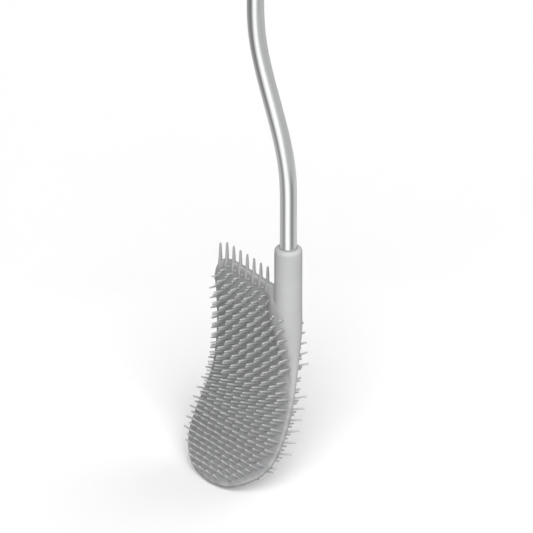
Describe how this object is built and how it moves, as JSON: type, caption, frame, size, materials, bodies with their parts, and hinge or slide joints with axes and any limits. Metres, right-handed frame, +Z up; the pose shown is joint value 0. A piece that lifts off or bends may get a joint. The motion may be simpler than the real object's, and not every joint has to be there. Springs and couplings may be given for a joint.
{
  "type": "toilet brush",
  "caption": "Toilet brush: curled soft paddle head with bristles on both faces and a comb of tines, screwed to an S-bent steel tube with a soft grip and hanging eye.",
  "frame": {"origin": "where a wall hook touches the top of the hanging eye, on the handle's axis", "axes": "+Z up the handle towards the hook, +X towards the socket side of the head, -Y out of the blade's front face"},
  "size_m": [0.0725, 0.0437, 0.4494],
  "materials": {
    "tube_steel": "satin drawn stainless tube",
    "collar_steel": "turned and brushed",
    "pin_steel": "plain",
    "insert_brass": "turned",
    "hard_plastic": "moulded",
    "cap_plastic": "fine moulded texture",
    "soft_grip": "matt soft touch",
    "soft_head": "satin soft moulding",
    "soft_bristles": "satin soft moulding",
    "seal_rubber": "matt"
  },
  "bodies": {
    "shaft": {"shaft_tube": "tube_steel", "thread_stud": "hard_plastic", "stud_pin": "pin_steel", "grip_collar": "collar_steel", "grip_core": "hard_plastic", "grip_sleeve": "soft_grip", "end_cap": "cap_plastic", "cap_pin": "pin_steel"},
    "seal": {"socket_seal": "seal_rubber"},
    "head": {"blade_rim": "soft_head", "blade_core": "hard_plastic", "socket_insert": "insert_brass", "front_bristle_pad": "soft_bristles", "rear_bristle_pad": "soft_bristles", "rim_comb": "soft_head"}
  },
  "joints": [
    {"name": "head_travel", "type": "slide", "parent": "shaft", "child": "seal", "axis": [0, 0, -1], "range_m": [0, 0.0136]},
    {"name": "head_turn", "type": "hinge", "parent": "seal", "child": "head", "pos_m": [0.0266, 0, -0.35], "axis": [0, 0, -1], "range_deg": [0, 1620]}
  ],
  "couplings": [
    {"joint": "head_travel", "follows": "head_turn", "m_per_rad": 0.00047746}
  ]
}
